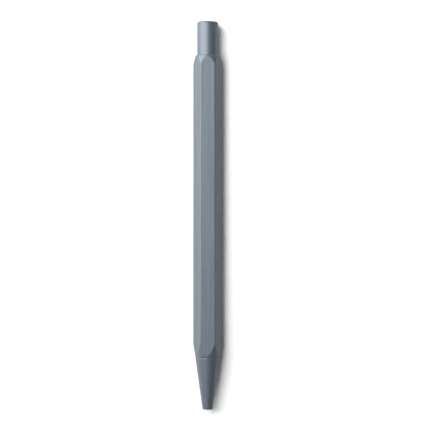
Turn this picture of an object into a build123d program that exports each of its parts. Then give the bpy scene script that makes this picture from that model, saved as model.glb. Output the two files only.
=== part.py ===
from build123d import *
from math import cos, pi, radians, sin, sqrt, tan
import os

# A push-button ballpoint pen with a hexagonal aluminium barrel, in millimetres and degrees. Each piece is
# drawn standing on the nose end, with the pen's axis as Z, so a place along the pen is its station above the
# nose end. The finished pieces are laid down together, on one flat of the barrel.

# Barrel: a hexagonal bar, bored through, its corners turned down to a round rim at each end. Its length
# follows from the refill, the click mechanism behind that and the button's skirt.
side_count = 6
flats = 9.1
corner_radius = 0.4
front_rim_step = 0.1
rear_rim_step = 0.17
front_taper_angle = 8.65
rear_taper_angle = 14.0
rim_chamfer = 0.12
rim_chamfer_length = 0.33
rear_rounding = 0.25
mouth_chamfer = 0.1
main_bore_radius = 3.3

# Nose cone: turned, screwed into the barrel by a threaded spigot.
nose_length = 18.7
nose_rim_step = 0.02
nose_rim_rounding = 0.3
nose_end_radius = 1.82
nose_end_rounding = 0.4
nose_hole_chamfer = 0.1
nose_seat_depth = 8.0
spring_chamber_gap = 0.12
relief_length = 0.8
lead_length = 0.25
thread_radius = 3.44
thread_depth = 0.44
thread_pitch = 0.75
thread_turns = 6
thread_crest_width = 0.12
thread_root_width = 0.5
thread_gap = 0.1
thread_play = 0.1
thread_lead_turns = 2
thread_runout_turns = 0.5
tapped_margin = 1.0

# Push button: turned, hollow, sliding in the rear bore of the barrel, its end a little crowned.
button_radius = 3.8
button_reach = 12.4
button_engagement = 5.6
button_crown = 0.35
button_rounding = 0.6
button_wall = 0.55
button_cap = 2.0
skirt_chamfer = 0.15

# Click: how far the point comes out to write, and how far the button goes past that.
writing_travel = 4.5
overtravel = 1.3
travel_margin = 1.0

# Refill: a slim metal tube with a pressed-in point and two crimped ears for the spring.
refill_length = 106.8
retracted_depth = 1.2
tube_radius = 1.5
tube_wall = 0.25
tube_rounding = 0.12
ear_reach = 28.0
ear_radius = 1.95
ear_width = 0.7
ear_top_length = 0.4
ear_length = 1.6
air_length = 10.0
point_radius = 1.15
point_reach = 10.8
point_grip = 4.0
point_cone_length = 2.7
lip_wall = 0.08
lip_cover_share = 0.68
channel_radius = 0.22
feed_radius = 0.7
feed_wall = 2.2
ball_radius = 0.5
ball_gap = 0.02
point_hole_gap = 0.1
tube_hole_gap = 0.15

# Spring: wire, coil and turns.
wire_radius = 0.2
coil_gap = 0.08
spring_turns = 12
end_turns = 1
end_pitch = 0.86

# Ratchet: sleeve, thrust cam and rotor cam.
lobe_count = 4
tooth_count = 8
tooth_height = 0.6
tooth_gap = 0.06
tooth_flat_angle = 1.35
press_turn_angle = 15.0
slot_angle = 44.0
rotor_rib_angle = 24.0
key_angle = 38.0
socket_depth = 2.5
socket_gap = 0.06
socket_wall = 0.5
rotor_height = 4.9
rotor_rib_length = 3.6
rotor_rib_drop = 0.7
pilot_radius = 1.1
pilot_length = 5.0
pilot_gap = 0.1
pilot_chamfer = 0.2
key_length = 5.2
key_gap = 0.3
stop_gap = 0.05
stem_radius = 1.85
stem_grip = 6.0
stem_end_gap = 0.2
sleeve_bore_radius = 2.75
sleeve_gap = 0.12
sleeve_skirt = 4.0
sleeve_ceiling = 1.0
sleeve_neck_gap = 0.15
flange_thickness = 1.0
neck_length = 4.25
notch_depth = 0.6
notch_width = 1.0

# Fits: sliding, seated for good, the overlap of fused pieces, and the overrun of every cut.
running_gap = 0.06
seat_gap = 0.02
root_sink = 0.1
overrun = 0.5

# Shares of a turn of the spring: one arc pair of its path, the step that gives its direction, the step
# between measured points, and the least distance between two that are compared. The last is the share of the
# open turns over which the pitch is eased in and out.
arc_share = 0.25
way_share = 0.001
sample_share = 0.03125
apart_share = 0.5
ease_share = 0.1

# Stations along the pen
full_stroke = writing_travel + overtravel
joint = nose_length
tube_front = retracted_depth + point_reach
tube_end = retracted_depth + refill_length
ear_low = retracted_depth + ear_reach
rotor_top = tube_end + rotor_height
rib_low = rotor_top - writing_travel - notch_depth
key_low = rotor_top + key_gap
key_top = key_low + key_length
ceiling = key_top + stop_gap
sleeve_top = ceiling + sleeve_ceiling
flange_top = sleeve_top - neck_length
shoulder = flange_top - flange_thickness
skirt_low = flange_top + travel_margin + full_stroke
barrel_end = skirt_low + button_engagement
button_top = barrel_end + button_reach
stem_floor = button_top - button_cap
stem_mouth = stem_floor - stem_grip
ridge_low = joint + relief_length + thread_root_width / 2
spigot_top = ridge_low + thread_turns * thread_pitch + thread_root_width / 2 + lead_length

# Radii shared by pieces that fit each other
corner_reach = flats / 2 / cos(pi / side_count)
front_rim = flats / 2 - front_rim_step
rear_rim = flats / 2 - rear_rim_step
button_bore_radius = button_radius + running_gap
tube_bore_radius = tube_radius - tube_wall
coil_radius = tube_radius + coil_gap + wire_radius
chamber_radius = coil_radius + wire_radius + spring_chamber_gap
thread_core = thread_radius - thread_depth
rotor_radius = tube_radius + socket_gap + socket_wall
cam_bore_radius = pilot_radius + pilot_gap
sleeve_rib_radius = rotor_radius + sleeve_gap
lobe_radius = sleeve_bore_radius - sleeve_gap
button_hollow_radius = button_radius - button_wall


def turned(*outline):
    """A solid turned about the pen's axis, from corners of radius, station and, on some, rounding."""
    points = [corner[:2] for corner in outline]
    roundings = [corner[2] if len(corner) > 2 else 0 for corner in outline]
    profile = FilletPolyline(*points, radius=roundings, close=True)
    return revolve(make_face(Plane.XZ * profile), Axis.Z)


def around(count, piece):
    """Copies of a piece, spaced evenly about the pen's axis."""
    return [Rot(0, 0, 360 / count * place) * piece for place in range(count)]


def ring_block(inner, outer, low, high, angle):
    """A block of a ring between two radii and two stations, centred on the +X side."""
    side, rise = cos(radians(angle / 2)), sin(radians(angle / 2))
    outline = [
        ThreePointArc((inner * side, -inner * rise), (inner, 0), (inner * side, inner * rise)),
        Line((inner * side, inner * rise), (outer * side, outer * rise)),
        ThreePointArc((outer * side, outer * rise), (outer, 0), (outer * side, -outer * rise)),
        Line((outer * side, -outer * rise), (inner * side, -inner * rise)),
    ]
    return Pos(0, 0, low) * extrude(make_face(outline), high - low)


def radial_prism(inner, outer, *outline):
    """A prism along a radius on the +X side, from corners of sideways distance and station."""
    across = Plane(origin=(inner, 0, 0), x_dir=(0, 1, 0), z_dir=(1, 0, 0))
    return extrude(across * make_face(Polyline(*outline, close=True)), outer - inner, dir=(1, 0, 0))


def tooth_space(tip, way):
    """The V between two teeth of a crown whose tips lie at a station and point up (1) or down (-1)."""
    half_angle = 180 / tooth_count - tooth_flat_angle
    sections = []
    for reach in (pilot_radius - root_sink, rotor_radius + overrun):
        half_width = reach * tan(radians(half_angle)) * (tooth_height + overrun) / tooth_height
        floor, mouth = tip - way * tooth_height, tip + way * overrun
        triangle = make_face(Polyline((0, floor), (half_width, mouth), (-half_width, mouth), close=True))
        sections.append(Plane(origin=(reach, 0, 0), x_dir=(0, 1, 0), z_dir=(1, 0, 0)) * triangle)
    return loft(sections, ruled=True)


def thread_ridge(low, turns, core, crest, extra_width):
    """One helical ridge of trapezoid section, from a core radius out to its crest."""
    path = Helix(thread_pitch, turns * thread_pitch, core, center=(0, 0, low))
    rise = crest - core
    edge = (thread_crest_width + extra_width) / 2
    root = (thread_root_width + extra_width) / 2
    foot = root + (root - edge) * root_sink / rise
    outline = Polyline((-root_sink, -foot), (rise, -edge), (rise, edge), (-root_sink, foot), close=True)
    start = Plane(origin=path @ 0, x_dir=(1, 0, 0), z_dir=path % 0)
    return sweep(start * make_face(outline), path=path, is_frenet=True)


def make_barrel():
    hexagon = RegularPolygon(flats / 2, side_count, major_radius=False)
    bar = Pos(0, 0, joint) * extrude(fillet(hexagon.vertices(), corner_radius), barrel_end - joint)
    clear = corner_reach + overrun
    taper_low = joint + rim_chamfer_length
    trim = turned(
        (0, joint),
        (front_rim - rim_chamfer, joint),
        (front_rim, taper_low),
        (clear, taper_low + (clear - front_rim) / tan(radians(front_taper_angle))),
        (clear, barrel_end - (clear - rear_rim) / tan(radians(rear_taper_angle))),
        (rear_rim, barrel_end, rear_rounding),
        (0, barrel_end),
    )
    tapped = thread_core + thread_gap
    groove_radius = thread_radius + thread_gap
    mouth = groove_radius + mouth_chamfer
    tapped_end = spigot_top + tapped_margin
    bore = turned(
        (0, joint - overrun),
        (mouth + overrun, joint - overrun),
        (tapped, joint + mouth - tapped),
        (tapped, tapped_end),
        (main_bore_radius, tapped_end + main_bore_radius - tapped),
        (main_bore_radius, shoulder),
        (button_bore_radius, shoulder),
        (button_bore_radius, barrel_end - mouth_chamfer),
        (button_bore_radius + mouth_chamfer + overrun, barrel_end + overrun),
        (0, barrel_end + overrun),
    )
    groove_low = ridge_low - thread_lead_turns * thread_pitch
    groove_turns = thread_lead_turns + thread_turns + thread_runout_turns
    groove = thread_ridge(groove_low, groove_turns, tapped, groove_radius, thread_play)
    return (bar & trim) - bore - groove


def make_nose_cone():
    outside = turned(
        (0, 0),
        (nose_end_radius, 0, nose_end_rounding),
        (front_rim - nose_rim_step, joint, nose_rim_rounding),
        (thread_core, joint),
        (thread_core, spigot_top - lead_length),
        (thread_core - lead_length, spigot_top),
        (0, spigot_top),
    )
    hole = point_radius + point_hole_gap
    passage = tube_radius + tube_hole_gap
    passage_low = tube_front - full_stroke - travel_margin
    inside = turned(
        (0, -overrun),
        (hole + nose_hole_chamfer + overrun, -overrun),
        (hole, nose_hole_chamfer),
        (hole, passage_low - passage + hole),
        (passage, passage_low),
        (passage, nose_seat_depth),
        (chamber_radius, nose_seat_depth),
        (chamber_radius, spigot_top + overrun),
        (0, spigot_top + overrun),
    )
    ridge = thread_ridge(ridge_low, thread_turns, thread_core, thread_radius, 0)
    return outside + ridge - inside


def make_push_button():
    bar = turned(
        (0, skirt_low),
        (button_radius - skirt_chamfer, skirt_low),
        (button_radius, skirt_low + skirt_chamfer),
        (button_radius, button_top),
        (0, button_top),
    )
    crown_radius = (button_radius**2 + button_crown**2) / (2 * button_crown)
    crowned = bar & Pos(0, 0, button_top - crown_radius) * Sphere(crown_radius)
    rim = crowned.edges().filter_by(lambda edge: edge.is_closed).sort_by(Axis.Z)[-1]
    outside = fillet(rim, button_rounding)
    grip = stem_radius + seat_gap
    inside = turned(
        (0, skirt_low - overrun),
        (button_hollow_radius, skirt_low - overrun),
        (button_hollow_radius, stem_mouth),
        (grip, stem_mouth),
        (grip, stem_floor),
        (0, stem_floor),
    )
    return outside - inside


def make_ratchet_sleeve():
    body = main_bore_radius - seat_gap
    flange = button_bore_radius - seat_gap
    neck = button_hollow_radius - sleeve_neck_gap
    low = rib_low - sleeve_skirt
    outside = turned(
        (0, low),
        (body, low),
        (body, shoulder),
        (flange, shoulder),
        (flange, flange_top),
        (neck, flange_top),
        (neck, sleeve_top),
        (0, sleeve_top),
    )
    stem_hole = stem_radius + running_gap
    inside = turned(
        (0, low - overrun),
        (sleeve_bore_radius, low - overrun),
        (sleeve_bore_radius, ceiling),
        (stem_hole, ceiling),
        (stem_hole, sleeve_top + overrun),
        (0, sleeve_top + overrun),
    )
    rib_angle = 360 / lobe_count - slot_angle
    rib_root = sleeve_bore_radius + root_sink
    rib = ring_block(sleeve_rib_radius, rib_root, rib_low, ceiling + root_sink, rib_angle)
    half_width = notch_width / 2
    notch = radial_prism(
        rotor_radius,
        sleeve_bore_radius,
        (-half_width, rib_low - overrun),
        (-half_width, rib_low),
        (0, rib_low + notch_depth),
        (half_width, rib_low),
        (half_width, rib_low - overrun),
    )
    return outside - inside + around(lobe_count, rib - notch)


def make_thrust_cam():
    half_pitch = 180 / tooth_count
    contact_share = (press_turn_angle + tooth_flat_angle) / (half_pitch - tooth_flat_angle)
    tip = rotor_top - tooth_height + tooth_height * contact_share + tooth_gap
    bore_top = rotor_top + pilot_length + pilot_gap
    stem_top = stem_floor - stem_end_gap
    outside = turned(
        (0, tip),
        (rotor_radius, tip),
        (rotor_radius, key_top),
        (stem_radius, key_top),
        (stem_radius, stem_top),
        (0, stem_top),
    )
    bore = turned(
        (0, tip - overrun),
        (cam_bore_radius, tip - overrun),
        (cam_bore_radius, bore_top),
        (0, bore_top),
    )
    spaces = around(tooth_count, tooth_space(tip, -1))
    key = ring_block(rotor_radius - root_sink, lobe_radius, key_low, key_top, key_angle)
    keys = Part() + around(lobe_count, key)
    slot_turn = 180 / lobe_count
    crown_turn = slot_turn + press_turn_angle / 2 + half_pitch
    return Rot(0, 0, crown_turn) * (outside - bore - spaces) + Rot(0, 0, slot_turn) * keys


def make_rotor_cam():
    foot = tube_end - socket_depth
    crown_floor = rotor_top - tooth_height
    core = turned(
        (0, foot),
        (rotor_radius, foot),
        (rotor_radius, rotor_top),
        (cam_bore_radius, rotor_top),
        (cam_bore_radius, crown_floor),
        (0, crown_floor),
    )
    socket_radius = tube_radius + socket_gap
    socket = turned(
        (0, foot - overrun),
        (socket_radius, foot - overrun),
        (socket_radius, tube_end),
        (0, tube_end),
    )
    pilot_low = crown_floor - root_sink
    pilot_top = rotor_top + pilot_length
    pilot = turned(
        (0, pilot_low),
        (pilot_radius, pilot_low),
        (pilot_radius, pilot_top - pilot_chamfer),
        (pilot_radius - pilot_chamfer, pilot_top),
        (0, pilot_top),
    )
    rib_foot = rotor_top - rotor_rib_length
    rib = ring_block(rotor_radius - root_sink, lobe_radius, rib_foot, rotor_top, rotor_rib_angle)
    half_width = lobe_radius * sin(radians(rotor_rib_angle / 2))
    slope = radial_prism(
        0,
        lobe_radius + overrun,
        (-half_width, rotor_top - rotor_rib_drop),
        (half_width, rotor_top),
        (half_width, rotor_top + overrun),
        (-half_width, rotor_top + overrun),
    )
    crowned = core - socket - around(tooth_count, tooth_space(rotor_top, 1))
    slot_turn = 180 / lobe_count - press_turn_angle / 2
    return Rot(0, 0, slot_turn) * (crowned + pilot + around(lobe_count, rib - slope))


def make_refill_tube():
    shell = turned(
        (tube_bore_radius, tube_front),
        (tube_radius, tube_front, tube_rounding),
        (tube_radius, tube_end),
        (tube_bore_radius, tube_end),
    )
    ear_root = tube_radius - root_sink
    ear_outline = Polyline(
        (ear_root, ear_low),
        (ear_radius, ear_low),
        (ear_radius, ear_low + ear_top_length),
        (ear_root, ear_low + ear_length),
        close=True,
    )
    ear = extrude(make_face(Plane.XZ * ear_outline), ear_width / 2, both=True)
    return shell + around(2, ear)


def make_writing_point():
    ball_station = retracted_depth + ball_radius
    lip = retracted_depth + 2 * ball_radius * (1 - lip_cover_share)
    cone_top = lip + point_cone_length
    insert = tube_bore_radius - seat_gap
    back = tube_front + point_grip
    outside = turned(
        (0, lip),
        (ball_radius + lip_wall, lip),
        (point_radius, cone_top),
        (point_radius, tube_front),
        (insert, tube_front),
        (insert, back),
        (0, back),
    )
    feed_low = cone_top + feed_wall
    channel = turned(
        (0, ball_station),
        (channel_radius, ball_station),
        (channel_radius, feed_low),
        (feed_radius, feed_low + feed_radius - channel_radius),
        (feed_radius, back + overrun),
        (0, back + overrun),
    )
    return outside - channel - Pos(0, 0, ball_station) * Sphere(ball_radius + ball_gap)


def make_writing_ball():
    return Pos(0, 0, retracted_depth + ball_radius) * Sphere(ball_radius)


def make_ink_column():
    low = tube_front + point_grip
    high = tube_end - air_length
    radius = tube_bore_radius - seat_gap
    return turned((0, low), (radius, low), (radius, high), (0, high))


def spring_point(turn):
    """A point of the spring's centre line, closer wound at both ends than between them."""
    low = nose_seat_depth + wire_radius
    high = ear_low - wire_radius
    along = min(max((turn - end_turns) / (spring_turns - 2 * end_turns), 0), 1)
    bend = 2 * ease_share * (1 - ease_share)
    if along < ease_share:
        eased = along**2 / bend
    elif along > 1 - ease_share:
        eased = 1 - (1 - along) ** 2 / bend
    else:
        eased = (along - ease_share / 2) / (1 - ease_share)
    station = low + end_pitch * turn + (high - low - end_pitch * spring_turns) * eased
    return Vector(coil_radius * cos(2 * pi * turn), coil_radius * sin(2 * pi * turn), station)


def spring_way(turn):
    """The direction of the spring's centre line."""
    return (spring_point(turn + way_share) - spring_point(turn - way_share)).normalized()


def biarc(start, start_way, end, end_way):
    """Two tangent arcs from one point and direction to another."""
    span = end - start
    both = start_way + end_way
    spread = 2 * (1 - start_way.dot(end_way))
    reach = (sqrt(span.dot(both) ** 2 + spread * span.dot(span)) - span.dot(both)) / spread
    first, last = start + start_way * reach, end - end_way * reach
    middle = (first + last) / 2
    opening = Edge.make_tangent_arc(start, start_way, middle)
    closing = Edge.make_tangent_arc(middle, last - first, end)
    return [opening, closing]


def make_return_spring():
    steps = round(spring_turns / arc_share)
    edges = []
    for step in range(steps):
        here, there = step * arc_share, (step + 1) * arc_share
        edges += biarc(spring_point(here), spring_way(here), spring_point(there), spring_way(there))
    section = Plane(origin=spring_point(0), z_dir=spring_way(0)) * Circle(wire_radius)
    return sweep(section, path=Wire(edges))


def spring_gap():
    """The least gap between neighbouring turns of the spring, measured on points of its centre line."""
    count = round(spring_turns / sample_share)
    points = [spring_point(place * sample_share) for place in range(count + 1)]
    apart = round(apart_share / sample_share)
    distances = []
    for place in range(count + 1):
        distances += [(points[place] - other).length for other in points[place + apart:]]
    return min(distances) - 2 * wire_radius


pieces = {
    "barrel": make_barrel(),
    "nose_cone": make_nose_cone(),
    "push_button": make_push_button(),
    "ratchet_sleeve": make_ratchet_sleeve(),
    "thrust_cam": make_thrust_cam(),
    "rotor_cam": make_rotor_cam(),
    "return_spring": make_return_spring(),
    "refill_tube": make_refill_tube(),
    "ink_column": make_ink_column(),
    "writing_point": make_writing_point(),
    "writing_ball": make_writing_ball(),
}

laid_down = Plane(origin=(0, -button_top / 2, flats / 2), x_dir=(1, 0, 0), z_dir=(0, 1, 0)).location
os.makedirs("parts", exist_ok=True)
for name, piece in pieces.items():
    export_step(laid_down * piece.solid(), f"parts/{name}.step")
print(f"least gap between the turns of the spring: {spring_gap():.2f} mm")
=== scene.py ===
from math import acos, asin, cos, pi, radians, sin, sqrt, tan

import bmesh
import bpy
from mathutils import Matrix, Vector


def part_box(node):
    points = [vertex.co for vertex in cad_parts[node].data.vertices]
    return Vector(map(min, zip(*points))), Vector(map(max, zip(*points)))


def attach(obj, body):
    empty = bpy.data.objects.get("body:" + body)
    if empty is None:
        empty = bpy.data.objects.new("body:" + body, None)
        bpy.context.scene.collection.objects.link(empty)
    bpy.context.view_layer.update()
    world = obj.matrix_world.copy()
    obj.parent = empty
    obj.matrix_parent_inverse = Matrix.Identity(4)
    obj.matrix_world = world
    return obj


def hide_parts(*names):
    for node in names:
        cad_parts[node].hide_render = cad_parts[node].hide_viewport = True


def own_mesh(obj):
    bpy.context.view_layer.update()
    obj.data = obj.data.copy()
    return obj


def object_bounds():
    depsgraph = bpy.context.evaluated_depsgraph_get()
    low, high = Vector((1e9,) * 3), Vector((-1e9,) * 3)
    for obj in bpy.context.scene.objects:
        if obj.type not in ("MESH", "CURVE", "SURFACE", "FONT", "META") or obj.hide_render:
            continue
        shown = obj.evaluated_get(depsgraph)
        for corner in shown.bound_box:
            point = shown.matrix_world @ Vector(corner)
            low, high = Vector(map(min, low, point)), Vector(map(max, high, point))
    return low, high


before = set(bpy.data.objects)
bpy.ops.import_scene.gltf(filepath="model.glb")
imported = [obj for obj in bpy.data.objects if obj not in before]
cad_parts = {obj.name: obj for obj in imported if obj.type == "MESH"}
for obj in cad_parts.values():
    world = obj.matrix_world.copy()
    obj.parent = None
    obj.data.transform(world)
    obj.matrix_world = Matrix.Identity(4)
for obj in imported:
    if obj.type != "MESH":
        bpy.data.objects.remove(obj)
cad_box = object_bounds()

# Barrel: the body of the pen, a hexagonal bar of drawn aluminium, bored through, with its corners
# turned down to a round rim at each end and a thread cut in its front end for the nose. It is sprayed
# with a blue-grey satin lacquer.
mm = 0.001
side_count = 6
barrel_low, barrel_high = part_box("barrel")
front_end, rear_end = barrel_low.y, barrel_high.y
across_flats = barrel_high.z - barrel_low.z
axis_height = (barrel_low.z + barrel_high.z) / 2
corner_radius = 0.4 * mm
corner_strips = 9
front_rim_step = 0.1 * mm
rear_rim_step = 0.17 * mm
front_taper = radians(8.65)
rear_taper = radians(14)
rim_chamfer = 0.12 * mm
rim_chamfer_length = 0.33 * mm
rear_rounding = 0.2 * mm
main_bore = 3.3 * mm
button_bore = 3.86 * mm
button_bore_depth = 13.4 * mm
mouth_chamfer = 0.1 * mm
thread_pitch = 0.75 * mm
thread_start = 1.05 * mm
thread_turns = 6
tapped_length = 7.05 * mm
groove_radius = 3.54 * mm
barrel_thread_crest = 3.1 * mm
barrel_thread_widths = (0.53 * mm, 0.15 * mm)
foot_sink = 0.04 * mm
turned_steps = 144
thread_steps = 96
rounding_steps = 14
merge_distance = 0.0005 * mm
sharp_angle = radians(8)

# The real flake, draw lines and turning rings are under 0.1 mm wide: they are drawn coarser, to show.
lacquer_dark = "#5a646d"
lacquer_light = "#667079"
flake_share = 0.31
lacquer_shine = 0.7
lacquer_roughness = (0.42, 0.48)
grit_size = 0.2 * mm
grit_share = 0.4
grit_range = (0.3, 0.7)
mark_depth = 0.01 * mm
mark_strength = 0.15
drawn_line = Vector((0.4, 30, 0.4)) * mm
drawn_reach = 0.15
noise_middle = 0.5


def turned(*outline):
    """A shell turned about the pen's axis, from corners of radius, place along it and, on some, rounding."""
    made = bmesh.new()
    corners = [made.verts.new((corner[0], corner[1], axis_height)) for corner in outline]
    closed = outline[0][0] > 0
    for place in range(len(corners) if closed else len(corners) - 1):
        made.edges.new((corners[place], corners[(place + 1) % len(corners)]))
    for corner, vertex in zip(outline, corners):
        if len(corner) > 2:
            bmesh.ops.bevel(
                made,
                geom=[vertex],
                offset=corner[2],
                affect="VERTICES",
                segments=rounding_steps,
                profile=0.5,
                material=-1,
            )
    bmesh.ops.spin(
        made,
        geom=made.verts[:] + made.edges[:],
        cent=(0, 0, axis_height),
        axis=(0, 1, 0),
        angle=2 * pi,
        steps=turned_steps,
        use_merge=True,
    )
    bmesh.ops.remove_doubles(made, verts=made.verts, dist=merge_distance)
    bmesh.ops.recalc_face_normals(made, faces=made.faces)
    return made


def cut_flat(made, turn, reach):
    """Mills off what stands out beyond a plane along the pen, and closes the cut."""
    outward = Vector((sin(turn), 0, cos(turn)))
    cut = bmesh.ops.bisect_plane(
        made,
        geom=made.verts[:] + made.edges[:] + made.faces[:],
        dist=merge_distance,
        plane_co=outward * reach + Vector((0, 0, axis_height)),
        plane_no=outward,
        clear_outer=True,
    )
    rim = [part for part in cut["geom_cut"] if isinstance(part, bmesh.types.BMEdge)]
    bmesh.ops.edgeloop_fill(made, edges=rim)


def add_thread(made, foot, crest, widths, low, turns):
    """Winds one ridge of trapezoid section about the pen's axis, from its foot's radius to its crest's."""
    foot_half, crest_half = widths[0] / 2, widths[1] / 2
    section = [(foot, -foot_half), (crest, -crest_half), (crest, crest_half), (foot, foot_half)]
    corners = [made.verts.new((radius, low + along, axis_height)) for radius, along in section]
    start = made.faces.new(corners)
    bmesh.ops.spin(
        made,
        geom=[start, *start.edges, *corners],
        cent=(0, 0, axis_height),
        axis=(0, 1, 0),
        dvec=(0, thread_pitch / thread_steps, 0),
        angle=2 * pi * turns,
        steps=thread_steps * turns,
    )


def finished(name, made):
    """The object of a piece, smooth on its round faces and crisp on its edges."""
    bmesh.ops.recalc_face_normals(made, faces=made.faces)
    mesh = bpy.data.meshes.new(name)
    made.to_mesh(mesh)
    made.free()
    mesh.shade_smooth()
    mesh.set_sharp_from_angle(angle=sharp_angle)
    piece = bpy.data.objects.new(name, mesh)
    bpy.context.scene.collection.objects.link(piece)
    even = piece.modifiers.new("even_shading", "WEIGHTED_NORMAL")
    even.keep_sharp = True
    return piece


def linear(colour):
    """The linear red, green, blue and alpha of a colour written as an sRGB hex value."""
    shares = [int(colour[place:place + 2], 16) / 255 for place in (1, 3, 5)]
    light = [share / 12.92 if share <= 0.04045 else ((share + 0.055) / 1.055) ** 2.4 for share in shares]
    return [*light, 1]


def add_node(tree, kind, settings, inputs):
    """Adds a node with its settings, and sets or links its inputs, given by name or number."""
    made = tree.nodes.new(kind)
    for name, value in settings.items():
        setattr(made, name, value)
    for name, value in inputs.items():
        if isinstance(value, bpy.types.NodeSocket):
            tree.links.new(value, made.inputs[name])
        else:
            made.inputs[name].default_value = value
    return made


def new_material(name):
    """A new material, with its node tree and its shader."""
    material = bpy.data.materials.new(name)
    material.use_nodes = True
    return material, material.node_tree, material.node_tree.nodes["Principled BSDF"]


def lacquered_aluminium(name, mark_size, mark_reach):
    """Aluminium in satin lacquer with metal flake: soft pale highlights, faint marks of its making."""
    material, tree, shader = new_material(name)
    coordinates = add_node(tree, "ShaderNodeTexCoord", {}, {}).outputs["Object"]
    scale = Vector([1 / size for size in mark_size])
    marks_place = add_node(tree, "ShaderNodeMapping", {}, {"Vector": coordinates, "Scale": scale})
    marks = add_node(
        tree,
        "ShaderNodeTexNoise",
        {},
        {"Vector": marks_place.outputs[0], "Scale": 1, "Detail": 2, "Roughness": 0.6},
    ).outputs[0]
    grit = add_node(
        tree,
        "ShaderNodeTexNoise",
        {},
        {"Vector": coordinates, "Scale": 1 / grit_size, "Detail": 1, "Roughness": 0.5},
    ).outputs[0]
    streaks = add_node(
        tree,
        "ShaderNodeMapRange",
        {},
        {"Value": marks, "From Min": noise_middle - mark_reach, "From Max": noise_middle + mark_reach},
    )
    tone = add_node(
        tree,
        "ShaderNodeMix",
        {"data_type": "RGBA"},
        {0: streaks.outputs[0], 6: linear(lacquer_dark), 7: linear(lacquer_light)},
    )
    tree.links.new(tone.outputs[2], shader.inputs["Base Color"])
    shader.inputs["Metallic"].default_value = flake_share
    shader.inputs["Specular IOR Level"].default_value = lacquer_shine
    gloss = add_node(
        tree,
        "ShaderNodeMapRange",
        {},
        {
            "Value": grit,
            "From Min": grit_range[0],
            "From Max": grit_range[1],
            "To Min": lacquer_roughness[0],
            "To Max": lacquer_roughness[1],
        },
    )
    tree.links.new(gloss.outputs[0], shader.inputs["Roughness"])
    height = add_node(
        tree, "ShaderNodeMix", {"data_type": "FLOAT"}, {0: grit_share, 2: marks, 3: grit}
    )
    relief = add_node(
        tree,
        "ShaderNodeBump",
        {},
        {"Strength": mark_strength, "Distance": mark_depth, "Height": height.outputs[0]},
    )
    tree.links.new(relief.outputs[0], shader.inputs["Normal"])
    return material


blank_radius = across_flats / 2 / cos(pi / side_count)
front_rim = across_flats / 2 - front_rim_step
rear_rim = across_flats / 2 - rear_rim_step
front_taper_start = front_end + rim_chamfer_length
front_taper_end = front_taper_start + (blank_radius - front_rim) / tan(front_taper)
rear_taper_end = rear_end - (blank_radius - rear_rim) / tan(rear_taper)
tapped_end = front_end + tapped_length
bore_shoulder = rear_end - button_bore_depth
barrel_shell = turned(
    (groove_radius + mouth_chamfer, front_end),
    (front_rim - rim_chamfer, front_end),
    (front_rim, front_taper_start),
    (blank_radius, front_taper_end),
    (blank_radius, rear_taper_end),
    (rear_rim, rear_end, rear_rounding),
    (button_bore + mouth_chamfer, rear_end),
    (button_bore, rear_end - mouth_chamfer),
    (button_bore, bore_shoulder),
    (main_bore, bore_shoulder),
    (main_bore, tapped_end),
    (groove_radius, tapped_end),
    (groove_radius, front_end + mouth_chamfer),
)
corner_step = 2 * pi / side_count / (corner_strips + 1)
corner_centre = (across_flats / 2 - corner_radius) / cos(pi / side_count)
for side in range(side_count):
    side_turn = 2 * pi / side_count * side
    cut_flat(barrel_shell, side_turn, across_flats / 2)
    for strip in range(1, corner_strips + 1):
        off_corner = corner_step * strip - pi / side_count
        reach = corner_radius + corner_centre * cos(off_corner)
        cut_flat(barrel_shell, side_turn + corner_step * strip, reach)
add_thread(
    barrel_shell,
    groove_radius + foot_sink,
    barrel_thread_crest,
    barrel_thread_widths,
    front_end + thread_start - thread_pitch / 2,
    thread_turns + 1,
)
barrel = finished("barrel_body", barrel_shell)
barrel.data.materials.append(lacquered_aluminium("lacquered_drawn_aluminium", drawn_line, drawn_reach))
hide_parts("barrel")
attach(barrel, "barrel")

# Click mechanism: a sleeve pressed into the barrel, a plunger that the button pushes, and a rotor that
# turns on to the next tooth at each click. All three are moulded acetal, left in its own white or dyed
# black.
acetal_white = "#e6e5df"
acetal_white_shade = "#d9d8d1"
acetal_black = "#2a2b2d"
acetal_black_shade = "#202123"
moulded_grain = 0.15 * mm
moulded_depth = 0.004 * mm
moulded_strength = 0.3
acetal_roughness = (0.36, 0.5)
acetal_ior = 1.48


def moulded_acetal(name, colour, shade):
    """Acetal as it leaves the mould: waxy and even, with a fine grain from the tool."""
    material, tree, shader = new_material(name)
    coordinates = add_node(tree, "ShaderNodeTexCoord", {}, {}).outputs["Object"]
    grain = add_node(
        tree,
        "ShaderNodeTexNoise",
        {},
        {"Vector": coordinates, "Scale": 1 / moulded_grain, "Detail": 2, "Roughness": 0.5},
    ).outputs[0]
    tone = add_node(
        tree, "ShaderNodeMix", {"data_type": "RGBA"}, {0: grain, 6: linear(shade), 7: linear(colour)}
    )
    tree.links.new(tone.outputs[2], shader.inputs["Base Color"])
    gloss = add_node(
        tree,
        "ShaderNodeMapRange",
        {},
        {"Value": grain, "To Min": acetal_roughness[0], "To Max": acetal_roughness[1]},
    )
    tree.links.new(gloss.outputs[0], shader.inputs["Roughness"])
    relief = add_node(
        tree,
        "ShaderNodeBump",
        {},
        {"Strength": moulded_strength, "Distance": moulded_depth, "Height": grain},
    )
    tree.links.new(relief.outputs[0], shader.inputs["Normal"])
    shader.inputs["IOR"].default_value = acetal_ior
    return material


def dress(node, material):
    """Gives a piece that keeps its CAD shape its material."""
    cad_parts[node].data.materials.clear()
    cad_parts[node].data.materials.append(material)


white_acetal = moulded_acetal("moulded_acetal_white", acetal_white, acetal_white_shade)
dress("ratchet_sleeve", white_acetal)
dress("rotor_cam", white_acetal)
dress("thrust_cam", moulded_acetal("moulded_acetal_black", acetal_black, acetal_black_shade))

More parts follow.
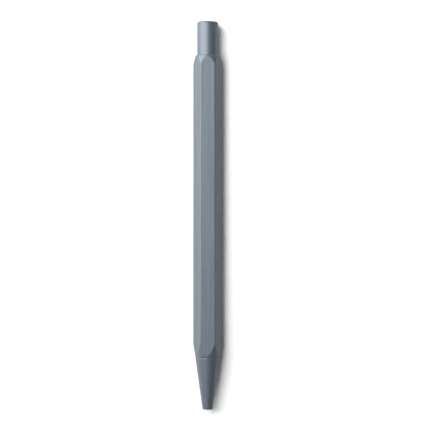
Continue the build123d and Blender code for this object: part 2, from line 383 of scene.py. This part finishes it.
# Push button: turned from aluminium bar, hollow, with a slightly crowned end and a rounded rim, and
# lacquered like the barrel. It slides in the rear bore of the barrel and is pressed on the plunger's stem.
button_low, button_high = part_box("push_button")
button_radius = 3.8 * mm
button_crown = 0.35 * mm
button_rounding = 0.55 * mm
crown_steps = 5
button_wall = 0.55 * mm
button_cap = 2 * mm
skirt_chamfer = 0.15 * mm
stem_hole = 1.87 * mm
stem_grip = 6 * mm
turning_ring = Vector((40, 0.35, 40)) * mm
turning_reach = 0.6

crown_radius = (button_radius**2 + button_crown**2) / (2 * button_crown)
crown_centre = button_high.y - crown_radius
crown = []
for step in range(crown_steps):
    reach = button_radius * step / crown_steps
    crown.append((reach, crown_centre + sqrt(crown_radius**2 - reach**2)))
cap_floor = button_high.y - button_cap
button = finished(
    "button_cap",
    turned(
        *crown,
        (button_radius, button_high.y - button_crown, button_rounding),
        (button_radius, button_low.y + skirt_chamfer),
        (button_radius - skirt_chamfer, button_low.y),
        (button_radius - button_wall, button_low.y),
        (button_radius - button_wall, cap_floor - stem_grip),
        (stem_hole, cap_floor - stem_grip),
        (stem_hole, cap_floor),
        (0, cap_floor),
    ),
)
turned_aluminium = lacquered_aluminium("lacquered_turned_aluminium", turning_ring, turning_reach)
button.data.materials.append(turned_aluminium)
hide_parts("push_button")
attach(button, "button")

# Refill: a slim drawn steel tube with two crimped ears for the spring, filled with blue ink. Its rear end
# sits in the rotor, and the point is pressed into its front end.
tube_light = "#c9c7c1"
tube_dark = "#b9b7b0"
tube_line = Vector((0.15, 15, 0.15)) * mm
tube_roughness = (0.22, 0.38)
ink_colour = "#131d55"
ink_shade = "#0d1440"
ink_cloud = 2 * mm
ink_roughness = 0.12


def bright_metal(name, light, dark, mark_size, roughness):
    """Bare bright metal: a clear gloss, broken by the fine marks of how it was drawn, turned or ground."""
    material, tree, shader = new_material(name)
    coordinates = add_node(tree, "ShaderNodeTexCoord", {}, {}).outputs["Object"]
    scale = Vector([1 / size for size in mark_size])
    place = add_node(tree, "ShaderNodeMapping", {}, {"Vector": coordinates, "Scale": scale})
    marks = add_node(
        tree, "ShaderNodeTexNoise", {}, {"Vector": place.outputs[0], "Scale": 1, "Detail": 2}
    ).outputs[0]
    tone = add_node(
        tree, "ShaderNodeMix", {"data_type": "RGBA"}, {0: marks, 6: linear(dark), 7: linear(light)}
    )
    tree.links.new(tone.outputs[2], shader.inputs["Base Color"])
    shader.inputs["Metallic"].default_value = 1
    gloss = add_node(
        tree,
        "ShaderNodeMapRange",
        {},
        {"Value": marks, "To Min": roughness[0], "To Max": roughness[1]},
    )
    tree.links.new(gloss.outputs[0], shader.inputs["Roughness"])
    return material


dress("refill_tube", bright_metal("drawn_steel_tube", tube_light, tube_dark, tube_line, tube_roughness))

# Ballpoint ink is a thick paste of dye: a deep, even blue, near black, with a wet gloss.
ink, ink_tree, ink_shader = new_material("ballpoint_ink")
ink_clouds = add_node(
    ink_tree,
    "ShaderNodeTexNoise",
    {},
    {
        "Vector": add_node(ink_tree, "ShaderNodeTexCoord", {}, {}).outputs["Object"],
        "Scale": 1 / ink_cloud,
    },
).outputs[0]
ink_tone = add_node(
    ink_tree,
    "ShaderNodeMix",
    {"data_type": "RGBA"},
    {0: ink_clouds, 6: linear(ink_shade), 7: linear(ink_colour)},
)
ink_tree.links.new(ink_tone.outputs[2], ink_shader.inputs["Base Color"])
ink_shader.inputs["Roughness"].default_value = ink_roughness
dress("ink_column", ink)

# Writing point: turned from nickel silver, pressed into the front of the tube, with a ground ball of
# tungsten carbide that its lip holds.
point_low, point_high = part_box("writing_point")
ball_low, ball_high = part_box("writing_ball")
tube_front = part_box("refill_tube")[0].y
ball_radius = 0.5 * mm
ball_columns, ball_rows = 48, 24
ball_centre = (ball_low.y + ball_high.y) / 2
lip_wall = 0.08 * mm
point_radius = 1.15 * mm
point_cone = 2.7 * mm
insert_radius = 1.23 * mm
seat_radius = 0.52 * mm
channel_radius = 0.22 * mm
feed_radius = 0.7 * mm
feed_wall = 2.2 * mm
shoulder_rounding = 0.3 * mm
seat_steps = 8
nickel_silver_light = "#c8bfa4"
nickel_silver_dark = "#b4ab90"
point_ring = Vector((10, 0.12, 10)) * mm
point_roughness = (0.2, 0.34)
carbide_light = "#b5b6b8"
carbide_dark = "#9d9ea0"
carbide_spot = Vector((0.06, 0.06, 0.06)) * mm
carbide_roughness = (0.08, 0.16)

point_cone_end = point_low.y + point_cone
feed_start = point_cone_end + feed_wall
seat_turns = (acos(channel_radius / seat_radius), asin((point_low.y - ball_centre) / seat_radius))
seat = []
for step in range(seat_steps + 1):
    turn = seat_turns[0] + (seat_turns[1] - seat_turns[0]) * step / seat_steps
    seat.append((seat_radius * cos(turn), ball_centre + seat_radius * sin(turn)))
point = finished(
    "point_tip",
    turned(
        (ball_radius + lip_wall, point_low.y),
        (point_radius, point_cone_end, shoulder_rounding),
        (point_radius, tube_front),
        (insert_radius, tube_front),
        (insert_radius, point_high.y),
        (feed_radius, point_high.y),
        (feed_radius, feed_start + feed_radius - channel_radius),
        (channel_radius, feed_start),
        *seat,
    ),
)
point.data.materials.append(
    bright_metal(
        "turned_nickel_silver", nickel_silver_light, nickel_silver_dark, point_ring, point_roughness
    )
)
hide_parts("writing_point")
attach(point, "refill")

ball_shell = bmesh.new()
bmesh.ops.create_uvsphere(
    ball_shell, u_segments=ball_columns, v_segments=ball_rows, radius=ball_radius
)
bmesh.ops.translate(ball_shell, verts=ball_shell.verts, vec=(0, ball_centre, axis_height))
ball = finished("point_ball", ball_shell)
ball.data.materials.append(
    bright_metal("ground_tungsten_carbide", carbide_light, carbide_dark, carbide_spot, carbide_roughness)
)
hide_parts("writing_ball")
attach(ball, "ball")

# Return spring: hard-drawn steel wire, wound open, with a closer turn at each end. It sits round the
# refill, between the nose and the tube's ears, and shortens when the button is pressed.
spring_low, spring_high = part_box("return_spring")
wire_light = "#c4c4c4"
wire_dark = "#adadad"
wire_mark = Vector((0.1, 0.1, 0.1)) * mm
wire_roughness = (0.18, 0.3)

spring_shell = bmesh.new()
spring_shell.from_mesh(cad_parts["return_spring"].data)
bmesh.ops.remove_doubles(spring_shell, verts=spring_shell.verts, dist=merge_distance)
spring = finished("spring_coil", spring_shell)
spring.data.materials.append(
    bright_metal("hard_drawn_spring_wire", wire_light, wire_dark, wire_mark, wire_roughness)
)
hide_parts("return_spring")
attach(spring, "spring")
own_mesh(spring)

# Nose cone: turned from aluminium bar, lacquered like the barrel, with the hole for the point and a
# threaded spigot that screws into the barrel.
nose_low, nose_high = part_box("nose_cone")
nose_rim_step = 0.02 * mm
nose_rim_rounding = 0.34 * mm
nose_end_radius = 1.82 * mm
nose_end_rounding = 0.35 * mm
nose_hole = 1.25 * mm
hole_chamfer = 0.1 * mm
refill_passage = 1.65 * mm
passage_depth = 5.2 * mm
spring_chamber = 2.1 * mm
nose_thread_core = 3 * mm
nose_thread_crest = 3.44 * mm
nose_thread_widths = (0.5 * mm, 0.12 * mm)
spigot_lead = 0.25 * mm

nose_rim = front_rim - nose_rim_step
passage_start = nose_low.y + passage_depth
nose_shell = turned(
    (nose_hole + hole_chamfer, nose_low.y),
    (nose_end_radius, nose_low.y, nose_end_rounding),
    (nose_rim, front_end, nose_rim_rounding),
    (nose_thread_core, front_end),
    (nose_thread_core, nose_high.y - spigot_lead),
    (nose_thread_core - spigot_lead, nose_high.y),
    (spring_chamber, nose_high.y),
    (spring_chamber, spring_low.y),
    (refill_passage, spring_low.y),
    (refill_passage, passage_start),
    (nose_hole, passage_start - refill_passage + nose_hole),
    (nose_hole, nose_low.y + hole_chamfer),
)
add_thread(
    nose_shell,
    nose_thread_core - foot_sink,
    nose_thread_crest,
    nose_thread_widths,
    front_end + thread_start,
    thread_turns,
)
nose = finished("nose_cone_body", nose_shell)
nose.data.materials.append(turned_aluminium)
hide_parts("nose_cone")
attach(nose, "nose")

# Floor: a sheet of white paper that the pen lies on. On the side away from the lamp the camera sees it
# whiter than it is: painted light, which lightens and shortens the pen's cast shade and keeps the paper
# round it white. Far off, where the lamp fades, it glows white, to the eye and in the pen's gloss.
floor_reach = 20
paper_white = 0.93
shade_side_painted_white = 1.36
shade_start = 4 * mm
lit_reach = 0.11
white_reach = 0.15

floor_shell = bmesh.new()
bmesh.ops.create_grid(floor_shell, x_segments=1, y_segments=1, size=floor_reach)
bmesh.ops.translate(floor_shell, verts=floor_shell.verts, vec=(0, 0, cad_box[0].z))
floor_mesh = bpy.data.meshes.new("paper_floor")
floor_shell.to_mesh(floor_mesh)
floor_shell.free()
floor = bpy.data.objects.new("paper_floor", floor_mesh)
bpy.context.scene.collection.objects.link(floor)

# Uncoated paper is matt: an even white, with soft shade and no gloss.
paper, paper_tree, paper_shader = new_material("white_paper")
paper_place = add_node(paper_tree, "ShaderNodeTexCoord", {}, {}).outputs["Object"]
ray = add_node(paper_tree, "ShaderNodeLightPath", {}, {})
across = add_node(paper_tree, "ShaderNodeSeparateXYZ", {}, {"Vector": paper_place}).outputs["X"]
shade_side = add_node(
    paper_tree,
    "ShaderNodeMapRange",
    {"interpolation_type": "SMOOTHSTEP"},
    {"Value": across, "From Min": -shade_start, "From Max": shade_start},
)
shade_seen = add_node(
    paper_tree,
    "ShaderNodeMath",
    {"operation": "MULTIPLY"},
    {0: ray.outputs["Is Camera Ray"], 1: shade_side.outputs[0]},
)
# Painted light: for the camera, the paper on the side away from the lamp is whiter than on the lit side,
# which lightens the pen's cast shade there.
paper_tone_with_painted_light = add_node(
    paper_tree,
    "ShaderNodeMapRange",
    {},
    {"Value": shade_seen.outputs[0], "To Min": paper_white, "To Max": shade_side_painted_white},
)
sheet = add_node(paper_tree, "ShaderNodeBsdfDiffuse", {}, {"Color": paper_tone_with_painted_light.outputs[0]})
eye_or_gloss = add_node(
    paper_tree,
    "ShaderNodeMath",
    {"operation": "MAXIMUM"},
    {0: ray.outputs["Is Camera Ray"], 1: ray.outputs["Is Glossy Ray"]},
)
seen = add_node(
    paper_tree,
    "ShaderNodeMath",
    {"operation": "MAXIMUM"},
    {0: eye_or_gloss.outputs[0], 1: ray.outputs["Is Transmission Ray"]},
)
away = add_node(paper_tree, "ShaderNodeVectorMath", {"operation": "LENGTH"}, {0: paper_place})
far_white = add_node(
    paper_tree,
    "ShaderNodeMapRange",
    {"interpolation_type": "SMOOTHSTEP"},
    {"Value": away.outputs["Value"], "From Min": lit_reach, "From Max": white_reach},
)
glow_strength = add_node(
    paper_tree,
    "ShaderNodeMath",
    {"operation": "MULTIPLY"},
    {0: seen.outputs[0], 1: far_white.outputs[0]},
)
glow = add_node(paper_tree, "ShaderNodeEmission", {}, {"Strength": glow_strength.outputs[0]})
lit = add_node(paper_tree, "ShaderNodeAddShader", {}, {0: sheet.outputs[0], 1: glow.outputs[0]})
paper_tree.links.new(lit.outputs[0], paper_tree.nodes["Material Output"].inputs["Surface"])
paper_tree.nodes.remove(paper_shader)
floor_mesh.materials.append(paper)

# Light: one tall soft box, its lower edge close above the floor, that leans over the pen from its left
# and from the button's end, in a dim grey room.
room_grey = 0.097
box_aim = Vector((0, 0.047, 0))
box_height = radians(43.8)
box_side = radians(21.9)
box_distance = 0.378
box_size = (0.36, 0.66)
box_power = 4.26

world = bpy.data.worlds.new("studio_room")
bpy.context.scene.world = world
world.use_nodes = True
world.node_tree.nodes["Background"].inputs["Color"].default_value = (room_grey, room_grey, room_grey, 1)
box_way = Vector((-cos(box_height) * cos(box_side), cos(box_height) * sin(box_side), sin(box_height)))
lamp = bpy.data.lights.new("soft_box", "AREA")
lamp.shape = "RECTANGLE"
lamp.size, lamp.size_y = box_size
lamp.energy = box_power
lamp_object = bpy.data.objects.new("soft_box", lamp)
lamp_object.location = box_aim + box_way * box_distance
lamp_object.rotation_euler = (-box_way).to_track_quat("-Z", "Y").to_euler()
lamp_object.visible_camera = False
bpy.context.scene.collection.objects.link(lamp_object)

# Camera: straight above the pen, far enough off to see it almost flat. The button is at the top of the
# picture, and the pen lies a little left of its middle.
camera_distance = 0.95
pixel_size = 0.3603 * mm
frame_pixels = 430
pen_column, pen_row = 207.65, 215.2
sensor_width = 36

field = pixel_size * frame_pixels
camera_data = bpy.data.cameras.new("camera")
camera_data.sensor_width = sensor_width
camera_data.lens = sensor_width * camera_distance / field
camera = bpy.data.objects.new("camera", camera_data)
camera.location = (
    (frame_pixels / 2 - pen_column) * pixel_size,
    (pen_row - frame_pixels / 2) * pixel_size,
    axis_height + camera_distance,
)
bpy.context.scene.collection.objects.link(camera)
bpy.context.scene.camera = camera
bpy.context.scene.view_settings.view_transform = "Standard"
